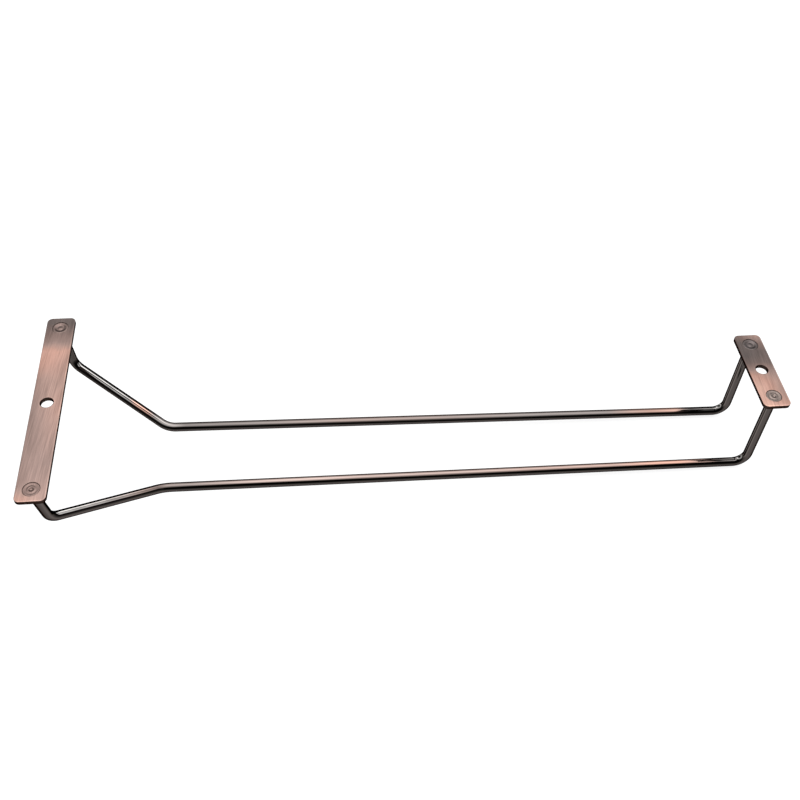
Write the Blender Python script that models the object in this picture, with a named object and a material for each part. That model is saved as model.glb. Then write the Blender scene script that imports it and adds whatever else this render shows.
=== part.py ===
"""Hanging wine glass rack: two bent round rods, riveted up into two flat strap plates.

+Y runs along the rack from its wide mouth to its narrow end, +X runs across it and +Z runs
up to the shelf that the plates are screwed under. All sizes are in metres.
"""

import math

import bmesh
import bpy
from mathutils import Matrix, Vector

# Strap plates, one at each end, cut from the same strip
WIDE_PLATE_LENGTH = 0.110
NARROW_PLATE_LENGTH = 0.047
PLATE_WIDTH = 0.0132
PLATE_THICKNESS = 0.002
PLATE_CORNER_RADIUS = 0.0025
PLATE_EDGE_ROUND = 0.0004
PLATE_SPACING = 0.333
RIVET_INSET = 0.0065

# Screw hole in the middle of each plate
SCREW_HOLE_DIAMETER = 0.0057
SCREW_HOLE_CHAMFER = 0.0002

# Round rod, and the heights of its bends below the plates' upper faces
ROD_DIAMETER = 0.0045
MOUTH_BEND_DROP = 0.0232
FLARE_END_DROP = 0.0425
REAR_BEND_DROP = 0.0487

# Lean of each front upright, inward and to the rear, and the end of the flared mouth
MOUTH_LEAN_INWARD = 0.002
MOUTH_LEAN_BACK = 0.0025
FLARE_END_SETBACK = 0.047
FLARE_END_SPREAD = 0.0374

# Bends, with radii to the rod's axis
COLLAR_LENGTH = 0.002
COLLAR_BEND_RADIUS = 0.006
MOUTH_BEND_RADIUS = 0.0065
FLARE_BEND_RADIUS = 0.012
REAR_BEND_RADIUS = 0.0065

# Rod end, turned down to a tenon and riveted over in a countersunk seat
TENON_DIAMETER = 0.0033
HEAD_DIAMETER = 0.0070
HEAD_RIM = 0.00015
HEAD_THICKNESS = 0.0007
HEAD_RECESS = 0.00005
DIMPLE_DIAMETER = 0.0016
DIMPLE_DEPTH = 0.00025

# Clearance between pieces that touch, and how far each cutter runs past its plate
SEAT_GAP = 0.0003
CUT_OVERRUN = 0.001

# Facets
ROD_SIDES = 24
HOLE_SIDES = 32
CORNER_STEPS = 6
EDGE_STEPS = 2
BEND_STEP_ANGLE = math.radians(12)
SMOOTH_ANGLE = math.radians(35)


def clear_scene():
    for obj in list(bpy.data.objects):
        bpy.data.objects.remove(obj, do_unlink=True)


def plated_steel(name, colour, roughness):
    """A plated steel finish with the given linear base colour."""
    material = bpy.data.materials.new(name)
    material.use_nodes = True
    shader = material.node_tree.nodes["Principled BSDF"]
    shader.inputs["Base Color"].default_value = (*colour, 1)
    shader.inputs["Roughness"].default_value = roughness
    shader.inputs["Metallic"].default_value = 1
    return material


def empty_at_mounting_plane(name):
    """The rack's parent, with its origin on the mounting plane midway between the plates."""
    empty = bpy.data.objects.new(name, None)
    bpy.context.scene.collection.objects.link(empty)
    return empty


def add_mesh_object(name, bm, parent, material=None):
    """Turns a bmesh into an object under the parent, with its faces outward."""
    bmesh.ops.recalc_face_normals(bm, faces=bm.faces)
    mesh = bpy.data.meshes.new(name)
    bm.to_mesh(mesh)
    bm.free()
    mesh.shade_smooth()
    mesh.set_sharp_from_angle(angle=SMOOTH_ANGLE)
    obj = bpy.data.objects.new(name, mesh)
    obj.parent = parent
    bpy.context.scene.collection.objects.link(obj)
    if material:
        mesh.materials.append(material)
    return obj


def ring(centre, across, up, radius, sides):
    """Points on a circle round a centre, in the plane of two unit vectors."""
    angles = [math.tau * k / sides for k in range(sides)]
    return [centre + radius * (across * math.cos(a) + up * math.sin(a)) for a in angles]


def loft(bm, rings, first_tip, last_tip):
    """Skins a row of rings and closes each end with a fan to its tip."""
    loops = [[bm.verts.new(point) for point in points] for points in rings]
    for loop, following in zip(loops, loops[1:]):
        for k, vert in enumerate(loop):
            bm.faces.new((loop[k - 1], vert, following[k], following[k - 1]))
    for loop, tip in ((loops[0], first_tip), (loops[-1], last_tip)):
        tip_vert = bm.verts.new(tip)
        for k, vert in enumerate(loop):
            bm.faces.new((loop[k - 1], vert, tip_vert))


def turned_cutter(name, parent, profile, location):
    """A hidden cutter turned round Z from a profile of (height, radius) pairs."""
    bm = bmesh.new()
    across, up = Vector((1, 0, 0)), Vector((0, 1, 0))
    rings = [ring(Vector((0, 0, z)), across, up, radius, HOLE_SIDES) for z, radius in profile]
    loft(bm, rings, Vector((0, 0, profile[0][0])), Vector((0, 0, profile[-1][0])))
    cutter = add_mesh_object(name, bm, parent)
    cutter.location = location
    cutter.hide_render = True
    cutter.display_type = "WIRE"
    return cutter


def screw_hole_profile():
    """A straight hole with a small chamfer at both faces of the plate."""
    hole = SCREW_HOLE_DIAMETER / 2
    flared = hole + SCREW_HOLE_CHAMFER + CUT_OVERRUN
    return [
        (CUT_OVERRUN, flared),
        (-SCREW_HOLE_CHAMFER, hole),
        (SCREW_HOLE_CHAMFER - PLATE_THICKNESS, hole),
        (-PLATE_THICKNESS - CUT_OVERRUN, flared),
    ]


def rivet_head_profile():
    """The rod's riveted end as (height, radius) pairs, from its top face to its shoulder."""
    head, tenon = HEAD_DIAMETER / 2, TENON_DIAMETER / 2
    shoulder = -PLATE_THICKNESS - SEAT_GAP
    return [
        (-HEAD_RECESS, DIMPLE_DIAMETER / 2),
        (-HEAD_RECESS, head),
        (-HEAD_RECESS - HEAD_RIM, head),
        (-HEAD_RECESS - HEAD_THICKNESS, tenon),
        (shoulder, tenon),
        (shoulder, ROD_DIAMETER / 2),
    ]


def rivet_seat_profile():
    """The countersunk hole that the rod's riveted end fills, with the seat gap all round."""
    head, tenon = HEAD_DIAMETER / 2 + SEAT_GAP, TENON_DIAMETER / 2 + SEAT_GAP
    return [
        (CUT_OVERRUN, head),
        (-HEAD_RECESS - HEAD_RIM - SEAT_GAP, head),
        (-HEAD_RECESS - HEAD_THICKNESS - SEAT_GAP, tenon),
        (-PLATE_THICKNESS - CUT_OVERRUN, tenon),
    ]


def rivet_across(plate_length):
    """How far each rivet of a plate is from the rack's middle plane."""
    return plate_length / 2 - RIVET_INSET


def strap_plate(name, length, station, parent, material):
    """A flat strap with round corners, a screw hole and a seat for each rod's end."""
    bm = bmesh.new()
    size = Vector((length, PLATE_WIDTH, PLATE_THICKNESS))
    bmesh.ops.create_cube(bm, size=1, matrix=Matrix.Diagonal(size.to_4d()))
    upright = [e for e in bm.edges if e.verts[0].co.xy == e.verts[1].co.xy]
    bmesh.ops.bevel(
        bm,
        geom=upright,
        offset=PLATE_CORNER_RADIUS,
        segments=CORNER_STEPS,
        profile=0.5,
        affect="EDGES",
    )
    plate = add_mesh_object(name, bm, parent, material)
    plate.location = (0, station, -PLATE_THICKNESS / 2)

    edges = plate.modifiers.new("rounded_edges", "BEVEL")
    edges.width = PLATE_EDGE_ROUND
    edges.segments = EDGE_STEPS
    edges.limit_method = "ANGLE"
    edges.angle_limit = SMOOTH_ANGLE

    cuts = [("screw_hole", screw_hole_profile(), 0)]
    for side_name, side in (("left", -1), ("right", 1)):
        cuts.append((side_name + "_rivet_seat", rivet_seat_profile(), side * rivet_across(length)))
    for cut_name, profile, across in cuts:
        cutter = turned_cutter(name + "_" + cut_name, parent, profile, (across, station, 0))
        cut = plate.modifiers.new(cut_name, "BOOLEAN")
        cut.operation = "DIFFERENCE"
        cut.solver = "EXACT"
        cut.object = cutter
    return plate


def rod_corners(side):
    """Where the rod's straight stretches meet, from its front end to its rear end."""
    mouth = -PLATE_SPACING / 2
    rear = PLATE_SPACING / 2
    shoulder = -PLATE_THICKNESS - SEAT_GAP
    mouth_across = side * rivet_across(WIDE_PLATE_LENGTH)
    bend_across = mouth_across - side * MOUTH_LEAN_INWARD
    flare_across = side * FLARE_END_SPREAD / 2
    rear_across = side * rivet_across(NARROW_PLATE_LENGTH)
    return [
        Vector((mouth_across, mouth, shoulder)),
        Vector((mouth_across, mouth, shoulder - COLLAR_LENGTH)),
        Vector((bend_across, mouth + MOUTH_LEAN_BACK, -MOUTH_BEND_DROP)),
        Vector((flare_across, mouth + FLARE_END_SETBACK, -FLARE_END_DROP)),
        Vector((rear_across, rear, -REAR_BEND_DROP)),
        Vector((rear_across, rear, shoulder)),
    ]


def bend_stations(before, corner, after, radius):
    """Points and directions along the arc that rounds one corner of a path."""
    arriving = (corner - before).normalized()
    leaving = (after - corner).normalized()
    turn = arriving.angle(leaving)
    centre = corner + (leaving - arriving).normalized() * radius / math.cos(turn / 2)
    start = corner - arriving * radius * math.tan(turn / 2)
    axis = arriving.cross(leaving).normalized()
    steps = math.ceil(turn / BEND_STEP_ANGLE)
    turns = [Matrix.Rotation(turn * k / steps, 3, axis) for k in range(steps + 1)]
    return [(centre + spin @ (start - centre), spin @ arriving) for spin in turns]


def bent_rod(name, side, parent, material):
    """One rod, swept through its bends, with a riveted head on each upturned end."""
    corners = rod_corners(side)
    radii = [COLLAR_BEND_RADIUS, MOUTH_BEND_RADIUS, FLARE_BEND_RADIUS, REAR_BEND_RADIUS]
    stations = []
    for before, corner, after, radius in zip(corners, corners[1:], corners[2:], radii):
        stations += bend_stations(before, corner, after, radius)

    heading, across, up = Vector((0, 0, -1)), Vector((1, 0, 0)), Vector((0, -1, 0))
    front_end, rear_end = corners[0].xy.to_3d(), corners[-1].xy.to_3d()
    head = [(Vector((0, 0, z)), radius) for z, radius in rivet_head_profile()]
    rings = [ring(front_end + drop, across, up, radius, ROD_SIDES) for drop, radius in head]
    for point, direction in stations:
        turn = heading.rotation_difference(direction)
        heading, across, up = direction, turn @ across, turn @ up
        rings.append(ring(point, across, up, ROD_DIAMETER / 2, ROD_SIDES))
    for drop, radius in reversed(head):
        rings.append(ring(rear_end + drop, across, up, radius, ROD_SIDES))

    bm = bmesh.new()
    dimple = Vector((0, 0, -HEAD_RECESS - DIMPLE_DEPTH))
    loft(bm, rings, front_end + dimple, rear_end + dimple)
    return add_mesh_object(name, bm, parent, material)


def stand_on_ground(rack, rods):
    """Lifts the rack until the rods' lowest point is at zero height."""
    rack.location.z = -min(vert.co.z for rod in rods for vert in rod.data.vertices)


def build():
    clear_scene()
    rack = empty_at_mounting_plane("wine_glass_rack")
    copper = plated_steel("antique_copper", (0.50, 0.33, 0.28), 0.38)
    bronze = plated_steel("dark_bronze", (0.075, 0.055, 0.048), 0.25)

    mouth = -PLATE_SPACING / 2
    rear = PLATE_SPACING / 2
    strap_plate("wide_mounting_plate", WIDE_PLATE_LENGTH, mouth, rack, copper)
    strap_plate("narrow_mounting_plate", NARROW_PLATE_LENGTH, rear, rack, copper)
    left = bent_rod("left_glass_rod", -1, rack, bronze)
    right = bent_rod("right_glass_rod", 1, rack, bronze)
    stand_on_ground(rack, (left, right))


build()
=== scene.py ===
"""The looks of the hanging wine glass rack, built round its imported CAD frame. Metres."""

import math

import bmesh
import bpy
from mathutils import Matrix, Vector

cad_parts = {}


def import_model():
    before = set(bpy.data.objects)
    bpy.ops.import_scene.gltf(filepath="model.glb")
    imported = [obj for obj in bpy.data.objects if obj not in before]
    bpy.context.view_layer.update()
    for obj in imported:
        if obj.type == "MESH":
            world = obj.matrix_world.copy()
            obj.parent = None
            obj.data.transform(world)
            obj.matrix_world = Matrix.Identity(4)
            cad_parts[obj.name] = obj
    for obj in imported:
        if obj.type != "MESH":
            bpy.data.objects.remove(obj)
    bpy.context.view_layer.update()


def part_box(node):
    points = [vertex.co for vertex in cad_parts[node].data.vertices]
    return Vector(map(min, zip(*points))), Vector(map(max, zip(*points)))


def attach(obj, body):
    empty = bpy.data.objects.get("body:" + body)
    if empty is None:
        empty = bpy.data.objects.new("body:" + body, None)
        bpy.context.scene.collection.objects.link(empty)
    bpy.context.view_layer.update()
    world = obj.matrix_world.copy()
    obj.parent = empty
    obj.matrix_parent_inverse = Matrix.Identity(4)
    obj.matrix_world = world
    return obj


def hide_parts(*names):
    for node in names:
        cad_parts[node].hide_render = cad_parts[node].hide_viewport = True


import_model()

X = Vector((1, 0, 0))
Y = Vector((0, 1, 0))
Z = Vector((0, 0, 1))

# Where the CAD model has its plates; the mouth is at -Y and the rear at +Y
WIDE_LOW, WIDE_HIGH = (Vector(corner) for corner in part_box("wide_mounting_plate"))
NARROW_LOW, NARROW_HIGH = (Vector(corner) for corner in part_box("narrow_mounting_plate"))
TOP = WIDE_HIGH.z
PLATE_THICKNESS = WIDE_HIGH.z - WIDE_LOW.z
PLATE_WIDTH = WIDE_HIGH.y - WIDE_LOW.y
MOUTH = (WIDE_LOW.y + WIDE_HIGH.y) / 2
REAR = (NARROW_LOW.y + NARROW_HIGH.y) / 2
WIDE_LENGTH = WIDE_HIGH.x - WIDE_LOW.x
NARROW_LENGTH = NARROW_HIGH.x - NARROW_LOW.x

# The plates' corners, edges, screw holes and rivet seats
CORNER_RADIUS = 0.0025
EDGE_ROUND = 0.00025
HOLE_RADIUS = 0.00285
HOLE_LIP = 0.0002
RIVET_INSET = 0.0065
SEAT_RADIUS = 0.00368
SEAT_LIP = 0.00012
SEAT_DEPTH = 0.0009
TENON_RADIUS = 0.00165

# Halfway round the lip of a seat: shares of it outward and downward
LIP_MIDWAY_OUT = 0.4
LIP_MIDWAY_DOWN = 0.25

# (radius, height) from the middle of a riveted end out to its rim, for two ways it was struck
DIMPLED_END = [
    (0.00000, -0.00062),
    (0.00045, -0.00058),
    (0.00078, -0.00040),
    (0.00108, -0.00016),
    (0.00135, -0.00006),
    (0.00165, -0.00011),
    (0.00200, -0.00023),
    (0.00235, -0.00026),
    (0.00290, -0.00014),
    (0.00335, -0.00011),
    (0.00352, -0.00015),
    (0.00360, -0.00025),
]
DISHED_END = [
    (0.00000, -0.00034),
    (0.00050, -0.00038),
    (0.00100, -0.00048),
    (0.00150, -0.00057),
    (0.00190, -0.00052),
    (0.00230, -0.00032),
    (0.00265, -0.00015),
    (0.00300, -0.00010),
    (0.00340, -0.00011),
    (0.00360, -0.00017),
]

# How far a riveted end's underside stays above the floor of its seat
RIVET_GAP = 0.00005

# The rods: their bends' drops below the plates' upper faces, places and radii
ROD_RADIUS = 0.00225
COLLAR_DROP = PLATE_THICKNESS + 0.0023
MOUTH_BEND_DROP = 0.0232
FLARE_END_DROP = 0.0425
REAR_BEND_DROP = 0.0487
MOUTH_LEAN_INWARD = 0.002
MOUTH_LEAN_BACK = 0.0025
FLARE_END_SETBACK = 0.047
FLARE_END_ACROSS = 0.0187
COLLAR_BEND_RADIUS = 0.006
MOUTH_BEND_RADIUS = 0.0065
FLARE_BEND_RADIUS = 0.012
REAR_BEND_RADIUS = 0.0065

# How finely the meshes are drawn, and which of their edges and faces stay sharp and flat
CORNER_STEPS = 8
EDGE_STEPS = 5
HOLE_STEPS = 3
HOLE_SIDES = 64
ROD_SIDES = 48
BEND_STEP = math.radians(5)
BEND_STEPS_LEAST = 3
CREASE_ANGLE = math.radians(35)
LEVEL_FROM = 0.999

# Camera, solved from the photograph's straight edges and round holes
CAMERA_PLACE = Vector((0.31774, -0.05044, TOP + 0.34512))
CAMERA_ELEVATION = math.radians(47.88)
CAMERA_SWING = math.radians(7.786)
CAMERA_ROLL = math.radians(3.067)
CAMERA_LENS = 45.85
CAMERA_SENSOR = 36
CAMERA_NEAR = 0.01

# The softbox that the metal reflects: its tilt toward -X, and its light by angle from its middle
SOFTBOX_TILT = math.radians(15)
SOFTBOX_STRENGTH = 3.5
SOFTBOX_GLOW = [(66, 0.04), (57, 0.06), (48, 0.2), (39, 0.34), (24, 0.62), (14, 0.95), (9, 1.0)]

# Dim cards at both ends of the rack, by how far a direction turns toward +Y or -Y
SIDE_CARDS = [(0.42, 0.0), (0.60, 0.24)]

# The overhead light, which the metal doesn't reflect
OVERHEAD_PLACE = (-0.25, 0, 1.3)
OVERHEAD_SIZE = (1.2, 1.6)
OVERHEAD_POWER = 10

# The floor, which glows a little so that it shows as white as the photograph's ground
FLOOR_REACH = 6
FLOOR_DROP = 0.0005
FLOOR_GREY = 0.25
FLOOR_ROUGHNESS = 0.9
FLOOR_GLOW = 0.82

# The patina's colour from dark to rubbed through, which also paints in the plates' reflection of the
# light; the narrow plate's riveted ends are greyer
PATINA_AND_SHEEN_SHADES = [
    (0.0, (0.10, 0.082, 0.077)),
    (0.2, (0.18, 0.125, 0.11)),
    (0.35, (0.24, 0.168, 0.148)),
    (0.5, (0.30, 0.198, 0.168)),
    (0.7, (0.39, 0.228, 0.183)),
    (0.85, (0.465, 0.283, 0.232)),
    (1.0, (0.55, 0.345, 0.275)),
]
NARROW_RIVET_SHADES = [(0.0, (0.10, 0.083, 0.08)), (1.0, (0.50, 0.38, 0.32))]

# What plate_material is told about each plate and its riveted ends
WIDE_LOOKS = {
    "left_wear_and_sheen": [
        (0.03, 0.03),
        (0.11, 0.2),
        (0.15, 0.29),
        (0.20, 0.74),
        (0.27, 0.68),
        (0.38, 0.46),
        (0.50, 0.36),
        (0.62, 0.30),
        (0.93, 0.32),
        (0.98, 0.64),
    ],
    "right_wear_and_sheen": [
        (0.03, 0.03),
        (0.11, 0.2),
        (0.15, 0.31),
        (0.20, 0.67),
        (0.28, 0.58),
        (0.40, 0.5),
        (0.53, 0.57),
        (0.66, 0.46),
        (0.82, 0.35),
        (0.98, 0.42),
    ],
    "shades": PATINA_AND_SHEEN_SHADES,
    "middle": 1.1,
}
NARROW_LOOKS = {
    "left_wear_and_sheen": [
        (0.02, 0.14),
        (0.12, 0.02),
        (0.30, 0.0),
        (0.41, 0.09),
        (0.50, 0.37),
        (0.58, 0.76),
        (0.74, 0.96),
        (0.90, 0.88),
        (0.98, 1.0),
    ],
    "right_wear_and_sheen": [
        (0.02, 0.52),
        (0.12, 0.22),
        (0.24, 0.05),
        (0.41, 0.1),
        (0.52, 0.33),
        (0.66, 0.52),
        (0.80, 0.5),
        (0.92, 0.6),
        (0.98, 0.78),
    ],
    "shades": PATINA_AND_SHEEN_SHADES,
    "middle": 0.95,
}
WIDE_RIVET_LOOKS = {
    "left_wear_and_sheen": [(0.1, 0.13), (0.9, 0.2)],
    "right_wear_and_sheen": [(0.1, 0.13), (0.9, 0.2)],
    "shades": PATINA_AND_SHEEN_SHADES,
    "middle": 1.0,
}
NARROW_RIVET_LOOKS = {
    "left_wear_and_sheen": [(0.2, 0.0), (0.8, 0.22)],
    "right_wear_and_sheen": [(0.2, 0.0), (0.8, 0.22)],
    "shades": NARROW_RIVET_SHADES,
    "middle": 1.0,
}

# How the left long edge's wear and painted reflection pass into the right one's, by place across the
# strap
SIDE_BLEND = [(0.15, 0), (0.85, 1)]

# How far the wear and painted reflection stray along the strap, in parts of its length, and the scale of
# their wandering
WEAR_AND_SHEEN_STRAY = 0.08
WEAR_AND_SHEEN_WANDER = 90

# Brush marks: how the noise is squeezed along X, Y and Z, its turn, and the fine marks' share
FINE_BRUSHING = (70, 1900, 1)
FINE_TURN = math.radians(4)
FINE_DETAIL = 4
FINE_CONTRAST = 0.65
FINE_SHARE = 0.65
BROAD_BRUSHING = (35, 420, 1)
BROAD_TURN = math.radians(7)

# What the brush marks do to the metal's brightness, roughness, relief and highlights
BRUSHED_TONES = [(0.3, 0.68), (0.7, 1.32)]
BRUSHED_ROUGHNESS = [(0.3, 0.36), (0.7, 0.28)]
BRUSHED_STRENGTH = 0.2
BRUSHED_DEPTH = 0.00004
BRUSHED_SPREAD = 0.6
BRUSHED_ROTATION = 0.25

# A screw hole's rim: dark inside, then a painted highlight, by distance in parts of the rim's width
HOLE_RIM = 0.002
HOLE_DARK_COLOUR = (0.03, 0.02, 0.017)
HOLE_DARK_LIMIT = [(0.12, 0), (0.20, 1)]
HOLE_PAINTED_HIGHLIGHT = [(0.22, 1.22), (0.40, 1.0)]

# The plates' painted highlight along the rim toward +X and +Y, by distance in parts of its width
HIGHLIGHT_RIM = 0.0008
HIGHLIGHT_RIM_TONES = [(0.1, 1), (0.35, 1.35)]

# The plates' rounded edges and their sides in painted shade, by how far the surface faces upward; their
# glance is painted darker too
EDGE_COLOUR = (0.10, 0.045, 0.038)
EDGE_LIMIT = [(0.5, 0), (0.8, 1)]
SIDE_COLOUR = (0.032, 0.022, 0.019)
SIDE_GLANCE = (0.06, 0.05, 0.045)
SIDE_LIMIT = [(0.2, 0), (0.35, 1)]

# What rod_material is told about each rod
LEFT_LOOKS = {
    "tones_along": [
        (0.02, 0.42, 0.0),
        (0.086, 0.34, 0.0),
        (0.096, 0.60, 0.9),
        (0.112, 0.52, 0.85),
        (0.122, 0.34, 0.1),
        (0.167, 0.12, 0.15),
        (0.27, 0.145, 0.2),
        (0.40, 0.155, 0.45),
        (0.57, 0.15, 0.35),
        (0.70, 0.155, 0.15),
        (0.81, 0.165, 0.2),
        (0.85, 0.26, 0.65),
        (0.88, 0.27, 0.8),
        (0.92, 0.34, 0.8),
        (0.935, 0.10, 0.3),
        (0.945, 0.045, 0.1),
        (0.965, 0.08, 0.05),
    ],
    "highlight_from": 0.64,
    "swell": [
        (0.135, 0.49),
        (0.155, 0.39),
        (0.19, 0.45),
        (0.23, 0.49),
        (0.57, 0.54),
        (0.74, 0.47),
        (0.87, 0.45),
    ],
    "lean": [(0.81, 2.15), (0.88, 1.5), (0.95, 1.0), (0.98, 0.9), (1.0, 0.68)],
    "painted_lower_tones": [
        (0.0, (0.072, 0.063, 0.060)),
        (0.11, (0.060, 0.052, 0.049)),
        (0.30, (0.015, 0.013, 0.012)),
        (0.45, (0.005, 0.004, 0.004)),
        (0.68, (0.003, 0.002, 0.002)),
    ],
    "flare_lines": [
        (0.50, 0.03),
        (0.555, 0.07),
        (0.595, 0.72),
        (0.655, 0.82),
        (0.68, 0.03),
        (0.742, 0.03),
        (0.775, 0.66),
        (0.83, 0.6),
        (0.855, 0.04),
    ],
    "rear_lines": [
        (0.50, 0.5),
        (0.56, 0.6),
        (0.59, 2.6),
        (0.62, 2.6),
        (0.66, 0.5),
        (0.72, 0.3),
    ],
}
RIGHT_LOOKS = {
    "tones_along": [
        (0.02, 0.58, 0.0),
        (0.07, 0.52, 0.1),
        (0.12, 0.34, 0.5),
        (0.145, 0.14, 0.35),
        (0.175, 0.135, 0.3),
        (0.27, 0.23, 0.45),
        (0.40, 0.255, 0.48),
        (0.57, 0.225, 0.48),
        (0.80, 0.28, 0.65),
        (0.86, 0.42, 0.95),
        (0.90, 0.42, 0.95),
        (0.93, 0.29, 0.7),
        (0.955, 0.04, 0.25),
        (0.98, 0.09, 0.1),
    ],
    "highlight_from": 0.77,
    "swell": [
        (0.12, 0.56),
        (0.18, 0.455),
        (0.27, 0.455),
        (0.57, 0.55),
        (0.76, 0.47),
        (0.87, 0.43),
    ],
    "lean": [(0.8, 1.1), (1.0, 1.0)],
    "painted_lower_tones": [
        (0.0, (0.072, 0.063, 0.060)),
        (0.12, (0.064, 0.056, 0.052)),
        (0.33, (0.036, 0.031, 0.029)),
        (0.48, (0.009, 0.008, 0.007)),
        (0.68, (0.004, 0.003, 0.003)),
    ],
    "flare_lines": [
        (0.37, 0.03),
        (0.42, 0.08),
        (0.445, 1.3),
        (0.50, 1.4),
        (0.53, 0.38),
        (0.56, 0.32),
        (0.60, 0.75),
        (0.66, 0.9),
        (0.72, 1.6),
        (0.78, 2.2),
    ],
    "rear_lines": [
        (0.44, 0.5),
        (0.465, 2.0),
        (0.50, 2.0),
        (0.55, 0.45),
        (0.65, 0.45),
        (0.69, 2.4),
        (0.73, 2.4),
        (0.77, 0.5),
        (0.82, 0.3),
    ],
}

# Over how much upward facing the painted highlight band begins
BAND_FADE = 0.045

# Green and blue beside red in the painted highlight band on grey bronze, and what bare copper has less of
# them
BRONZE_GREEN_BLUE = (0.96, 0.93)
COPPER_LOSS = (0.4, 0.5)

# Where the flared and the rear parts of the rods are, by place along the rack from mouth to rear
FLARED_PART = [(0.12, 1), (0.15, 0)]
REAR_PART = [(0.92, 0), (0.95, 1)]

# Where a rod counts as upright, by how far its surface faces upward
UPRIGHT_PART = [(0.15, 1), (0.4, 0)]

# Painted reflections: light and dark lines round the upright parts, by how far the surface turns toward
# +Y
UPRIGHT_LINES = [
    (0.005, (0.5, 0.5, 0.5)),
    (0.022, (2.6, 2.55, 2.5)),
    (0.045, (0.5, 0.5, 0.5)),
    (0.08, (0.55, 0.55, 0.55)),
    (0.13, (2.1, 2.05, 2.0)),
    (0.19, (1.1, 1.08, 1.07)),
    (0.50, (1.1, 1.1, 1.1)),
    (0.72, (1.15, 1.15, 1.15)),
    (0.87, (1.65, 1.6, 1.6)),
    (0.94, (1.4, 1.4, 1.4)),
    (0.985, (0.25, 0.25, 0.25)),
]

# The painted glint inside the rear bends, by how far the surface faces both upward and the mouth
GLINT_PART = [(0.36, 0), (0.40, 1), (0.45, 1), (0.48, 0)]
GLINT_COLOUR = (0.36, 0.345, 0.33)

# The rods' smudges and grain: how the noise is squeezed along X, Y and Z, and what it does
SMUDGES = (300, 12, 300)
SMUDGE_TONES = [(0.35, 0.85), (0.65, 1.12)]
GRAIN = (2500, 60, 2500)
GRAIN_ROUGHNESS = [(0.3, 0.05), (0.7, 0.09)]
GRAIN_STRENGTH = 0.06
GRAIN_DEPTH = 0.00002
ROD_GLANCE = (0.05, 0.045, 0.042)


# Helpers for meshes

def new_object(name, bm, material, flat_faces=False):
    """A mesh piece that rides on the rack, with its faces outward and its creases sharp."""
    bmesh.ops.recalc_face_normals(bm, faces=bm.faces)
    mesh = bpy.data.meshes.new(name)
    bm.to_mesh(mesh)
    bm.free()
    mesh.shade_smooth()
    mesh.set_sharp_from_angle(angle=CREASE_ANGLE)
    for polygon in mesh.polygons:
        if flat_faces and abs(polygon.normal.z) > LEVEL_FROM:
            polygon.use_smooth = False
    mesh.materials.append(material)
    obj = bpy.data.objects.new(name, mesh)
    bpy.context.scene.collection.objects.link(obj)
    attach(obj, "root")
    return obj


def ring(centre, across, up, radius, sides):
    """Points round a circle that lies in the plane of two directions."""
    angles = [math.tau * k / sides for k in range(sides)]
    return [centre + radius * (across * math.cos(a) + up * math.sin(a)) for a in angles]


def loft(bm, rings):
    """Skins a row of rings of equal count and returns their vertices."""
    loops = [[bm.verts.new(point) for point in points] for points in rings]
    for loop, following in zip(loops, loops[1:]):
        for k, vert in enumerate(loop):
            bm.faces.new((loop[k - 1], vert, following[k], following[k - 1]))
    return loops


def fill_between(bm, loops):
    """Fills a flat face between its outer loop, which comes first, and the loops of its holes."""
    edges = []
    for loop in loops:
        for k, vert in enumerate(loop):
            edge = bm.edges.get((loop[k - 1], vert)) or bm.edges.new((loop[k - 1], vert))
            edges.append(edge)
    bmesh.ops.triangle_fill(bm, use_beauty=True, use_dissolve=False, edges=edges)


# Helpers for materials

def rgba(tone):
    """A grey level or an (r, g, b) as the four numbers that Blender takes."""
    red, green, blue = tone if isinstance(tone, tuple) else (tone, tone, tone)
    return (red, green, blue, 1)


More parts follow.
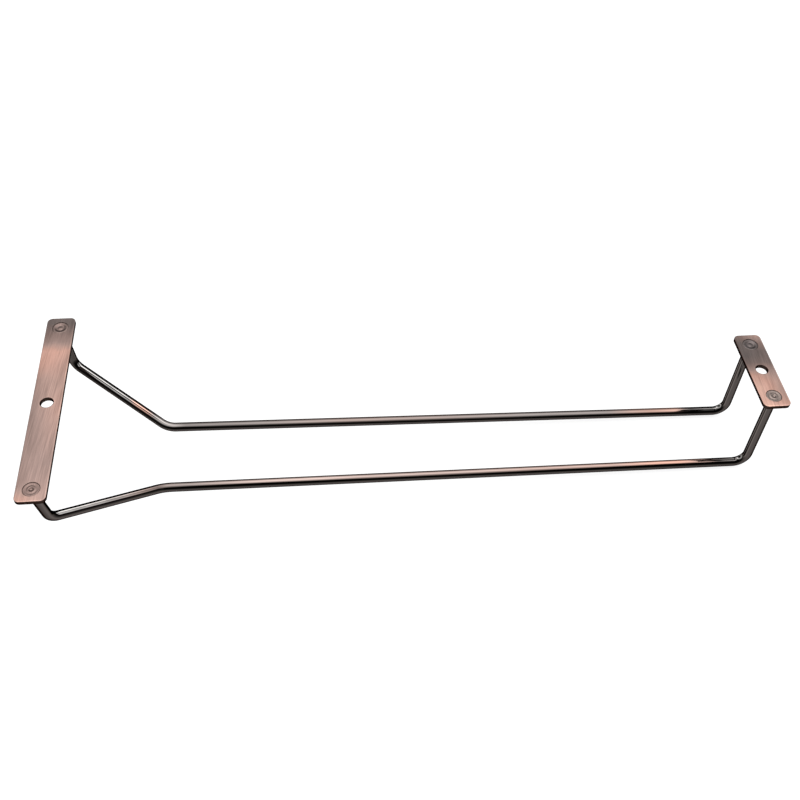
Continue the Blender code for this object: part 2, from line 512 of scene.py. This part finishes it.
class Nodes:
    """A node tree and short ways to add nodes to it."""

    def __init__(self, tree):
        self.tree = tree

    def node(self, kind, **settings):
        made = self.tree.nodes.new(kind)
        for key, value in settings.items():
            setattr(made, key, value)
        return made

    def feed(self, socket, value):
        """Links an output to the socket, or else sets the socket to a plain value."""
        if isinstance(value, bpy.types.NodeSocket):
            self.tree.links.new(value, socket)
        elif socket.type == "RGBA":
            socket.default_value = rgba(value)
        else:
            socket.default_value = value

    def math(self, operation, *values):
        made = self.node("ShaderNodeMath", operation=operation)
        for socket, value in zip(made.inputs, values):
            self.feed(socket, value)
        return made.outputs[0]

    def compare(self, operation, first, second):
        """The number that a vector operation makes of two vectors."""
        made = self.node("ShaderNodeVectorMath", operation=operation)
        self.feed(made.inputs[0], first)
        self.feed(made.inputs[1], second)
        return made.outputs["Value"]

    def separate(self, vector):
        made = self.node("ShaderNodeSeparateXYZ")
        self.feed(made.inputs[0], vector)
        return tuple(made.outputs)

    def mix(self, factor, first, second, blend="MIX"):
        made = self.node("ShaderNodeMix", data_type="RGBA", blend_type=blend)
        self.feed(made.inputs[0], factor)
        self.feed(made.inputs[6], first)
        self.feed(made.inputs[7], second)
        return made.outputs[2]

    def multiply(self, colour, *tones):
        for tone in tones:
            colour = self.mix(1.0, colour, tone, "MULTIPLY")
        return colour

    def ramp(self, factor, stops):
        """A colour ramp with a grey level or an (r, g, b) at each of its stops."""
        made = self.node("ShaderNodeValToRGB")
        elements = made.color_ramp.elements
        while len(elements) < len(stops):
            elements.new(0.5)
        for element, (place, tone) in zip(elements, stops):
            element.position = place
            element.color = rgba(tone)
        self.feed(made.inputs[0], factor)
        return made.outputs[0]

    def noise(self, vector, scale=1, detail=3, roughness=0.5):
        made = self.node("ShaderNodeTexNoise")
        self.feed(made.inputs["Vector"], vector)
        self.feed(made.inputs["Scale"], scale)
        self.feed(made.inputs["Detail"], detail)
        self.feed(made.inputs["Roughness"], roughness)
        return made.outputs[0]

    def squeezed(self, vector, scale, turn=0.0):
        """A place turned round Z, then scaled, which makes noise fine or drawn out along each axis."""
        turned = self.node("ShaderNodeMapping")
        self.feed(turned.inputs["Vector"], vector)
        self.feed(turned.inputs["Rotation"], (0, 0, turn))
        made = self.node("ShaderNodeMapping")
        self.feed(made.inputs["Vector"], turned.outputs[0])
        self.feed(made.inputs["Scale"], scale)
        return made.outputs[0]

    def bump(self, height, strength, distance):
        made = self.node("ShaderNodeBump")
        self.feed(made.inputs["Strength"], strength)
        self.feed(made.inputs["Distance"], distance)
        self.feed(made.inputs["Height"], height)
        return made.outputs[0]


class Shader(Nodes):
    """A Principled material and the nodes that feed it."""

    def __init__(self, name):
        self.material = bpy.data.materials.new(name)
        self.material.use_nodes = True
        super().__init__(self.material.node_tree)

    def surface(self, inputs):
        """Sets inputs of the Principled shader, by their names in Blender."""
        principled = self.tree.nodes["Principled BSDF"]
        for name, value in inputs.items():
            self.feed(principled.inputs[name], value)


# Materials

def tones_across(middle):
    """(place across the strap, how bright it is): a little darker toward both long edges."""
    return [(0, 0.9), (0.25, 1), (0.5, middle), (0.8, 1), (1, 0.92)]


def plate_material(name, station, length, left_wear_and_sheen, right_wear_and_sheen, shades, middle):
    """Brushed antique copper: worn coat with a painted reflection along the strap, fine brush lines,
    a dark ring and a painted highlight round the screw hole, a painted highlight along the rims toward
    +X and +Y, painted shade on the rounded edges and sides.

    left_wear_and_sheen, right_wear_and_sheen: (place along the strap, how far it is worn through
        to bare copper, which also paints in the light's reflection) at its left and right long edges
    shades: (how far it is worn through with the painted reflection, its colour)
    middle: how bright the strap is along its middle line
    """
    s = Shader(name)
    place = s.node("ShaderNodeTexCoord").outputs["Object"]
    x, y = s.separate(place)[:2]
    along = s.math("DIVIDE", s.math("SUBTRACT", x, -length / 2), length)
    across = s.math("DIVIDE", s.math("SUBTRACT", y, station - PLATE_WIDTH / 2), PLATE_WIDTH)

    # Wear along the strap, which also paints in the light's reflection
    wander = s.noise(place, WEAR_AND_SHEEN_WANDER)
    drift = s.math("MULTIPLY", s.math("SUBTRACT", wander, 0.5), WEAR_AND_SHEEN_STRAY)
    wear_and_sheen_along = s.math("ADD", along, drift)
    left, right = (s.ramp(wear_and_sheen_along, tones_along) for tones_along in (left_wear_and_sheen, right_wear_and_sheen))
    wear_and_sheen_colour = s.ramp(s.mix(s.ramp(across, SIDE_BLEND), left, right), shades)
    across_tone = s.ramp(across, tones_across(middle))

    brushing = s.squeezed(place, FINE_BRUSHING, FINE_TURN)
    fine = s.noise(brushing, detail=FINE_DETAIL, roughness=FINE_CONTRAST)
    broad = s.noise(s.squeezed(place, BROAD_BRUSHING, BROAD_TURN))
    fine_part = s.math("MULTIPLY", fine, FINE_SHARE)
    broad_part = s.math("MULTIPLY", broad, 1 - FINE_SHARE)
    streaks = s.math("ADD", fine_part, broad_part)

    flat = s.node("ShaderNodeCombineXYZ")
    s.feed(flat.inputs[0], x)
    s.feed(flat.inputs[1], y)
    reach = s.compare("DISTANCE", flat.outputs[0], (0, station, 0))
    # A dark ring just round the screw hole's lip, then a painted highlight just outside it
    rim = s.math("MULTIPLY", s.math("SUBTRACT", reach, HOLE_RADIUS), 1 / HOLE_RIM)
    face = s.multiply(wear_and_sheen_colour, across_tone, s.ramp(streaks, BRUSHED_TONES), s.ramp(rim, HOLE_PAINTED_HIGHLIGHT))
    face = s.mix(s.ramp(rim, HOLE_DARK_LIMIT), HOLE_DARK_COLOUR, face)

    # A painted highlight along the rim toward +X and +Y
    to_end = s.math("SUBTRACT", x, length / 2 - HIGHLIGHT_RIM)
    to_edge = s.math("SUBTRACT", y, station + PLATE_WIDTH / 2 - HIGHLIGHT_RIM)
    outer = s.math("MULTIPLY", s.math("MAXIMUM", to_end, to_edge), 1 / HIGHLIGHT_RIM)
    face = s.multiply(face, s.ramp(outer, HIGHLIGHT_RIM_TONES))

    # Painted shade on the rounded edges and the sides, which also glance darker
    upward = s.separate(s.node("ShaderNodeNewGeometry").outputs["Normal"])[2]
    side = s.ramp(upward, SIDE_LIMIT)
    colour = s.mix(s.ramp(upward, EDGE_LIMIT), EDGE_COLOUR, face)
    s.surface({
        "Base Color": s.mix(side, SIDE_COLOUR, colour),
        "Specular Tint": s.mix(side, SIDE_GLANCE, 1),
        "Metallic": 1,
        "Roughness": s.ramp(streaks, BRUSHED_ROUGHNESS),
        "Anisotropic": BRUSHED_SPREAD,
        "Anisotropic Rotation": BRUSHED_ROTATION,
        "Tangent": s.node("ShaderNodeTangent", direction_type="RADIAL", axis="Y").outputs[0],
        "Normal": s.bump(fine, BRUSHED_STRENGTH, BRUSHED_DEPTH),
    })
    return s.material


def band_colour(sheen, copper):
    """The colour of a rod's painted highlight band: grey bronze at copper 0, bare copper at 1."""
    green, blue = (bronze - loss * copper for bronze, loss in zip(BRONZE_GREEN_BLUE, COPPER_LOSS))
    return (sheen, sheen * green, sheen * blue)


def rod_material(name, tones_along, highlight_from, swell, lean, painted_lower_tones, flare_lines, rear_lines):
    """Glossy dark bronze rod with a painted highlight band along its upper side, coppery along the
    straight run, with painted shade below it and painted reflection lines.

    tones_along: (place along the rack, how bright the painted highlight band is, how coppery)
    highlight_from: how far upward the surface faces where the painted highlight band begins
    swell: (place along the rack, how wide the band is), above 0.5 reaching lower down the side
    lean: (how far upward the surface faces, how bright the band is)
    painted_lower_tones: (how far upward the surface faces, its colour outside the band), a painted
        shade that is darkest just below the band
    flare_lines, rear_lines: (how far the surface turns toward +X, how bright it is) painted
        reflection lines along the flared part and near the rear bend
    """
    s = Shader(name)
    place = s.node("ShaderNodeTexCoord").outputs["Object"]
    along = s.math("DIVIDE", s.math("SUBTRACT", s.separate(place)[1], MOUTH), REAR - MOUTH)
    nx, ny, nz = s.separate(s.node("ShaderNodeNewGeometry").outputs["Normal"])

    # Both from 0, turned fully away, to 1
    toward_x, toward_y = (s.math("MULTIPLY_ADD", part, 0.5, 0.5) for part in (nx, ny))

    # The painted highlight band's colour along the rack
    tint = s.ramp(along, [(reached, band_colour(sheen, copper)) for reached, sheen, copper in tones_along])
    smudges = s.ramp(s.noise(s.squeezed(place, SMUDGES)), SMUDGE_TONES)
    # Painted reflection lines along the flared part and near the rear bend
    lined_flare = s.mix(s.ramp(along, FLARED_PART), 1, s.ramp(toward_x, flare_lines))
    lined_rear = s.mix(s.ramp(along, REAR_PART), 1, s.ramp(toward_x, rear_lines))
    tint = s.multiply(tint, smudges, s.ramp(nz, lean), lined_flare, lined_rear)

    # Painted shade below the band, with painted reflection lines round the upright parts
    lined_upright = s.mix(s.ramp(nz, UPRIGHT_PART), 1, s.ramp(toward_y, UPRIGHT_LINES))
    lower = s.multiply(s.ramp(nz, painted_lower_tones), lined_upright)

    # Where the painted highlight band lies, widening and narrowing along the rack
    widened = s.math("SUBTRACT", s.ramp(along, swell), 0.5)
    band_limit = [(highlight_from, 0), (highlight_from + BAND_FADE, 1)]
    in_band = s.ramp(s.math("ADD", nz, widened), band_limit)
    colour = s.mix(in_band, lower, tint)

    # A painted glint inside the rear bends
    inside_bend = s.math("MULTIPLY", s.math("MULTIPLY", ny, -1), nz)
    grain = s.noise(s.squeezed(place, GRAIN))
    s.surface({
        "Base Color": s.mix(s.ramp(inside_bend, GLINT_PART), colour, GLINT_COLOUR),
        "Specular Tint": ROD_GLANCE,
        "Metallic": 1,
        "Roughness": s.ramp(grain, GRAIN_ROUGHNESS),
        "Normal": s.bump(grain, GRAIN_STRENGTH, GRAIN_DEPTH),
    })
    return s.material


# Plates

def seat_across(length):
    """How far a plate's rivet seats are from its middle."""
    return length / 2 - RIVET_INSET


def rounded_outline(length, inset):
    """Points round a strap with round corners, drawn in from its edge by an inset."""
    points = []
    reach = CORNER_RADIUS - inset
    corners = [(1, 1, 0), (-1, 1, 90), (-1, -1, 180), (1, -1, 270)]
    for side_x, side_y, start in corners:
        cx = side_x * (length / 2 - CORNER_RADIUS)
        cy = side_y * (PLATE_WIDTH / 2 - CORNER_RADIUS)
        for k in range(CORNER_STEPS + 1):
            a = math.radians(start + 90 * k / CORNER_STEPS)
            points.append((cx + reach * math.cos(a), cy + reach * math.sin(a)))
    return points


def rounded_profile(rounding, steps):
    """(inset, depth) from a plate's upper face to its lower one, both their edges rounded."""
    upper = []
    for k in range(steps + 1):
        a = math.radians(90 * k / steps)
        upper.append((rounding * (1 - math.sin(a)), rounding * (1 - math.cos(a))))
    return upper + [(inset, PLATE_THICKNESS - depth) for inset, depth in reversed(upper)]


def hole_profile():
    """(radius, depth) down a screw hole whose rims are softly rounded."""
    return [(HOLE_RADIUS + lip, depth) for lip, depth in rounded_profile(HOLE_LIP, HOLE_STEPS)]


def seat_profile():
    """(radius, depth) down the seat of a riveted rod end, from its soft lip."""
    tenon = TENON_RADIUS + SEAT_LIP
    return [
        (SEAT_RADIUS + SEAT_LIP, 0),
        (SEAT_RADIUS + SEAT_LIP * LIP_MIDWAY_OUT, SEAT_LIP * LIP_MIDWAY_DOWN),
        (SEAT_RADIUS, SEAT_LIP),
        (SEAT_RADIUS, SEAT_DEPTH),
        (tenon, SEAT_DEPTH + SEAT_LIP),
        (tenon, PLATE_THICKNESS),
    ]


def strap_plate(name, station, length, material):
    """A flat strap with soft edges, a screw hole and two riveted seats."""
    bm = bmesh.new()
    centre = Vector((0, station, TOP))
    rings = []
    for inset, depth in rounded_profile(EDGE_ROUND, EDGE_STEPS):
        rings.append([centre + Vector((x, y, -depth)) for x, y in rounded_outline(length, inset)])
    outer = loft(bm, rings)
    top_loops, bottom_loops = [outer[0]], [outer[-1]]
    seat = seat_across(length)
    for x, profile in ((0, hole_profile()), (-seat, seat_profile()), (seat, seat_profile())):
        rings = [
            ring(centre + Vector((x, 0, -depth)), X, Y, radius, HOLE_SIDES)
            for radius, depth in profile
        ]
        loops = loft(bm, rings)
        top_loops.append(loops[0])
        bottom_loops.append(loops[-1])
    fill_between(bm, top_loops)
    fill_between(bm, bottom_loops)
    return new_object(name, bm, material, flat_faces=True)


def rivet_head(name, x, y, profile, material):
    """A riveted rod end, a little below the face, with the marks of the riveting tool."""
    bm = bmesh.new()
    centre = Vector((x, y, TOP))
    rim_radius = profile[-1][0]
    foot = (rim_radius, RIVET_GAP - SEAT_DEPTH)
    rings = [
        ring(centre + Vector((0, 0, z)), X, Y, radius, HOLE_SIDES)
        for radius, z in profile[1:] + [foot]
    ]
    loops = loft(bm, rings)
    tip = bm.verts.new(centre + Vector((0, 0, profile[0][1])))
    for k, vert in enumerate(loops[0]):
        bm.faces.new((loops[0][k - 1], vert, tip))
    bm.faces.new(loops[-1])
    return new_object(name, bm, material)


# Rods

def bend_stations(before, corner, after, radius):
    """Points and directions along the arc that rounds one corner of a path."""
    arriving = (corner - before).normalized()
    leaving = (after - corner).normalized()
    turn = arriving.angle(leaving)
    centre = corner + (leaving - arriving).normalized() * radius / math.cos(turn / 2)
    start = corner - arriving * radius * math.tan(turn / 2)
    axis = arriving.cross(leaving).normalized()
    steps = max(BEND_STEPS_LEAST, math.ceil(turn / BEND_STEP))
    turns = [Matrix.Rotation(turn * k / steps, 3, axis) for k in range(steps + 1)]
    return [(centre + spin @ (start - centre), spin @ arriving) for spin in turns]


def bent_rod(name, side, material):
    """One rod swept through its bends, between its shoulders under the two plates."""
    mouth_across = side * seat_across(WIDE_LENGTH)
    rear_across = side * seat_across(NARROW_LENGTH)
    shoulder = TOP - PLATE_THICKNESS
    corners = [
        Vector((mouth_across, MOUTH, shoulder)),
        Vector((mouth_across, MOUTH, TOP - COLLAR_DROP)),
        Vector((mouth_across - side * MOUTH_LEAN_INWARD, MOUTH + MOUTH_LEAN_BACK, TOP - MOUTH_BEND_DROP)),
        Vector((side * FLARE_END_ACROSS, MOUTH + FLARE_END_SETBACK, TOP - FLARE_END_DROP)),
        Vector((rear_across, REAR, TOP - REAR_BEND_DROP)),
        Vector((rear_across, REAR, shoulder)),
    ]
    radii = [COLLAR_BEND_RADIUS, MOUTH_BEND_RADIUS, FLARE_BEND_RADIUS, REAR_BEND_RADIUS]
    stations = [(corners[0], -Z)]
    for before, corner, after, radius in zip(corners, corners[1:], corners[2:], radii):
        stations += bend_stations(before, corner, after, radius)
    stations.append((corners[-1], Z))
    heading, across, up = -Z, X, -Y
    rings = []
    for point, direction in stations:
        turn = heading.rotation_difference(direction)
        heading, across, up = direction, turn @ across, turn @ up
        rings.append(ring(point, across, up, ROD_RADIUS, ROD_SIDES))
    bm = bmesh.new()
    loops = loft(bm, rings)
    bm.faces.new(loops[0])
    bm.faces.new(loops[-1])
    return new_object(name, bm, material)


# Stage

def floor():
    """A wide white floor just under the rack."""
    white = Shader("floor_white")
    white.surface({
        "Base Color": FLOOR_GREY,
        "Roughness": FLOOR_ROUGHNESS,
        "Emission Color": 1,
        "Emission Strength": FLOOR_GLOW,
    })
    mesh = bpy.data.meshes.new("floor")
    corners = [(x * FLOOR_REACH, y * FLOOR_REACH, 0) for x, y in ((-1, -1), (1, -1), (1, 1), (-1, 1))]
    mesh.from_pydata(corners, [], [(0, 1, 2, 3)])
    mesh.materials.append(white.material)
    obj = bpy.data.objects.new("floor", mesh)
    obj.location.z = -FLOOR_DROP
    bpy.context.scene.collection.objects.link(obj)


def overhead_light():
    """A large soft light aimed at the floor under the rack's middle."""
    light = bpy.data.lights.new("overhead", "AREA")
    light.shape = "RECTANGLE"
    light.size, light.size_y = OVERHEAD_SIZE
    light.energy = OVERHEAD_POWER
    obj = bpy.data.objects.new("overhead", light)
    obj.location = OVERHEAD_PLACE
    obj.rotation_euler = (-Vector(OVERHEAD_PLACE)).to_track_quat("-Z", "Y").to_euler()
    obj.visible_glossy = False
    bpy.context.scene.collection.objects.link(obj)


def world():
    """Pale all round for the camera and the floor; metal reflects one overhead softbox."""
    made = bpy.data.worlds.new("studio")
    made.use_nodes = True
    s = Nodes(made.node_tree)
    pale = s.tree.nodes["Background"]
    s.feed(pale.inputs["Color"], 1)
    s.feed(pale.inputs["Strength"], 1.0)

    direction = s.node("ShaderNodeTexCoord").outputs["Generated"]
    softbox_aim = (-math.sin(SOFTBOX_TILT), 0, math.cos(SOFTBOX_TILT))
    facing = s.compare("DOT_PRODUCT", direction, softbox_aim)
    glow = s.ramp(facing, [(math.cos(math.radians(angle)), light) for angle, light in SOFTBOX_GLOW])
    sideways = s.math("ABSOLUTE", s.separate(direction)[1])
    cards = s.ramp(sideways, SIDE_CARDS)
    softbox = s.node("ShaderNodeBackground")
    s.feed(softbox.inputs["Color"], s.mix(1.0, glow, cards, "LIGHTEN"))
    s.feed(softbox.inputs["Strength"], SOFTBOX_STRENGTH)

    ray = s.node("ShaderNodeLightPath")
    chosen = s.node("ShaderNodeMixShader")
    s.feed(chosen.inputs[0], ray.outputs["Is Glossy Ray"])
    s.feed(chosen.inputs[1], pale.outputs[0])
    s.feed(chosen.inputs[2], softbox.outputs[0])
    s.feed(s.tree.nodes["World Output"].inputs[0], chosen.outputs[0])
    bpy.context.scene.world = made


def camera():
    """The photograph's camera."""
    data = bpy.data.cameras.new("camera")
    data.sensor_width = CAMERA_SENSOR
    data.lens = CAMERA_LENS
    data.clip_start = CAMERA_NEAR
    obj = bpy.data.objects.new("camera", data)
    bpy.context.scene.collection.objects.link(obj)
    forward = Vector((
        -math.cos(CAMERA_ELEVATION) * math.cos(CAMERA_SWING),
        math.cos(CAMERA_ELEVATION) * math.sin(CAMERA_SWING),
        -math.sin(CAMERA_ELEVATION),
    ))
    level = forward.cross(Z).normalized()
    above = level.cross(forward)
    right = level * math.cos(CAMERA_ROLL) + above * math.sin(CAMERA_ROLL)
    up = right.cross(forward)
    turn = Matrix((right, up, -forward)).transposed().to_4x4()
    obj.matrix_world = Matrix.Translation(CAMERA_PLACE) @ turn
    bpy.context.scene.camera = obj


# Build

plates = (
    ("wide_mounting_plate", "wide", MOUTH, WIDE_LENGTH, WIDE_LOOKS, WIDE_RIVET_LOOKS),
    ("narrow_mounting_plate", "narrow", REAR, NARROW_LENGTH, NARROW_LOOKS, NARROW_RIVET_LOOKS),
)
for node, name, station, length, looks, rivet_looks in plates:
    metal = plate_material(f"antique_copper_{name}", station, length, **looks)
    riveted = plate_material(f"riveted_{name}", station, length, **rivet_looks)
    plate = strap_plate(f"{name}_plate", station, length, metal)
    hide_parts(node)
    for side_name, side, profile in (("left", -1, DISHED_END), ("right", 1, DIMPLED_END)):
        x = side * seat_across(length)
        rivet_head(f"{name}_plate_{side_name}_rivet", x, station, profile, riveted)

for name, side, looks in (("left", -1, LEFT_LOOKS), ("right", 1, RIGHT_LOOKS)):
    metal = rod_material(f"dark_bronze_{name}", **looks)
    rod = bent_rod(f"{name}_rod", side, metal)
    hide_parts(f"{name}_glass_rod")

floor()
world()
overhead_light()
camera()
bpy.context.scene.view_settings.view_transform = "Standard"
